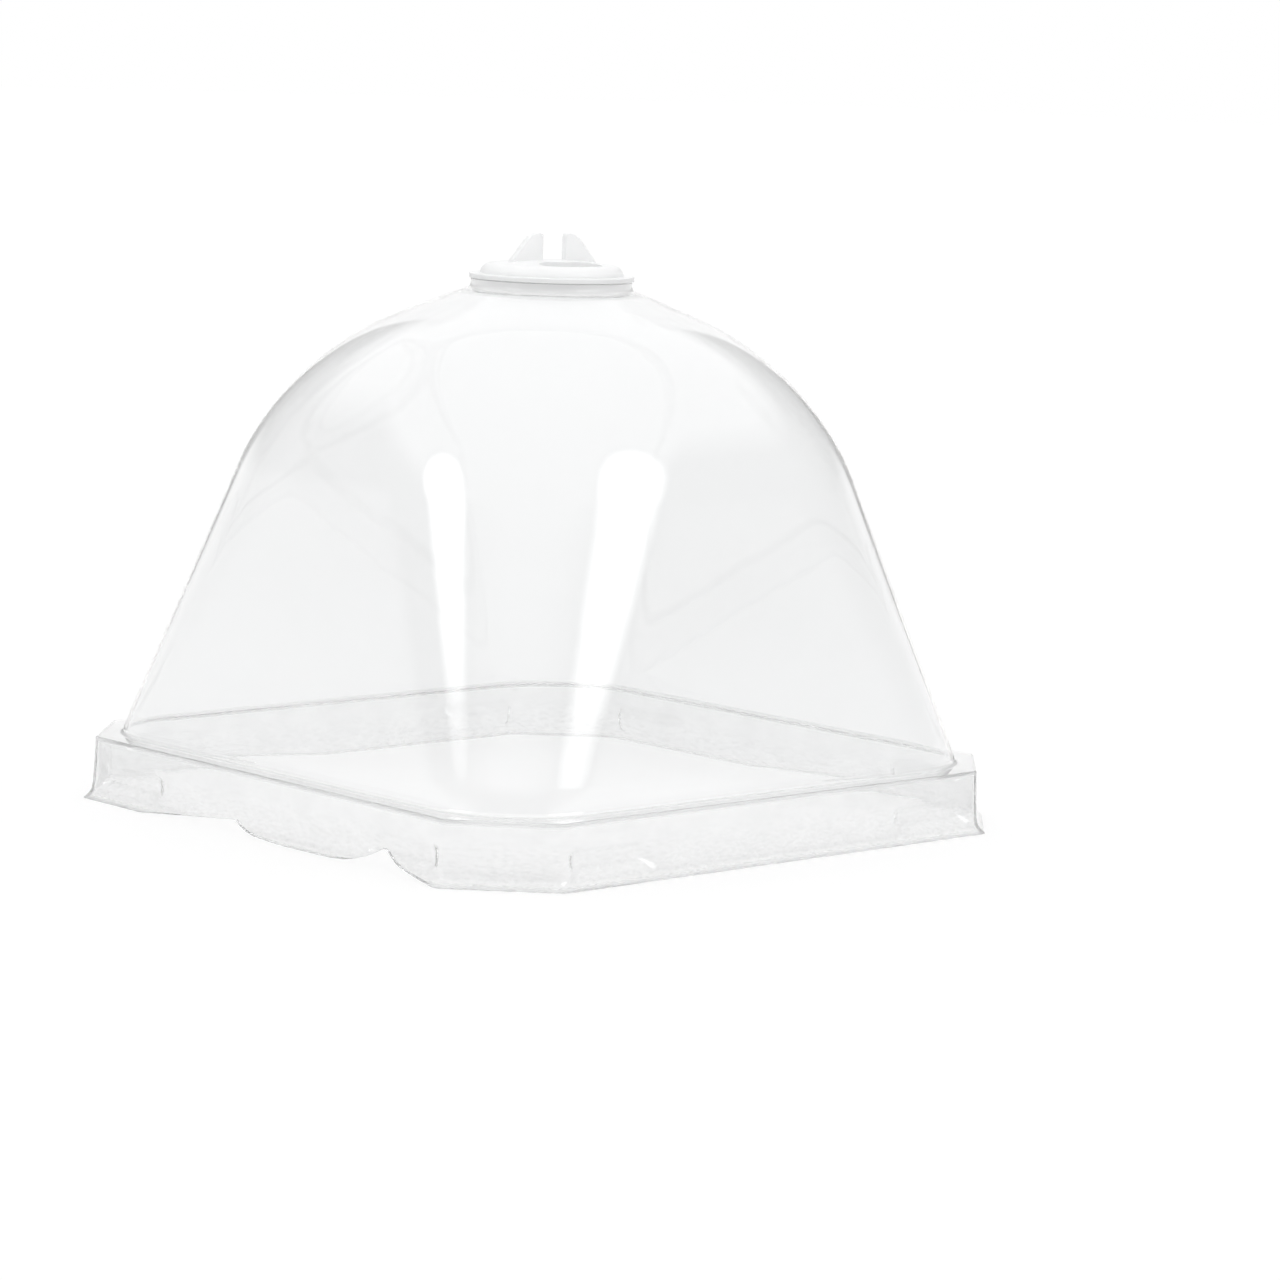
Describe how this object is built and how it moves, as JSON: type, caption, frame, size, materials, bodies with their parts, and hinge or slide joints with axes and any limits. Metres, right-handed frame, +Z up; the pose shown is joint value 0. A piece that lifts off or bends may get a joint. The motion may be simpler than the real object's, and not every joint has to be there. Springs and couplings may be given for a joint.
{
  "type": "humidity dome",
  "caption": "Clear square humidity dome for one nursery pot, with a push-on skirt and a rotary vent dial at the top.",
  "frame": {"origin": "centre of the square that the lip stands on, at the lip's bottom face", "axes": "+Z up along the dome and the vent's axis, X and Y along the lip's straight sides; the unevenly trimmed side faces -Y"},
  "size_m": [0.1, 0.1, 0.08],
  "materials": {
    "clear_sheet": "clear thermoformed plastic sheet, glossy, faint haze",
    "milky_moulding": "translucent, slightly milky injection moulding, satin gloss"
  },
  "bodies": {
    "dome": {"dome_shell": "clear_sheet"},
    "dial": {"vent_dial": "milky_moulding"}
  },
  "joints": [
    {"name": "vent_turn", "type": "hinge", "parent": "dome", "child": "dial", "pos_m": [0, 0, 0.0736], "axis": [0, 0, 1], "continuous": true}
  ]
}
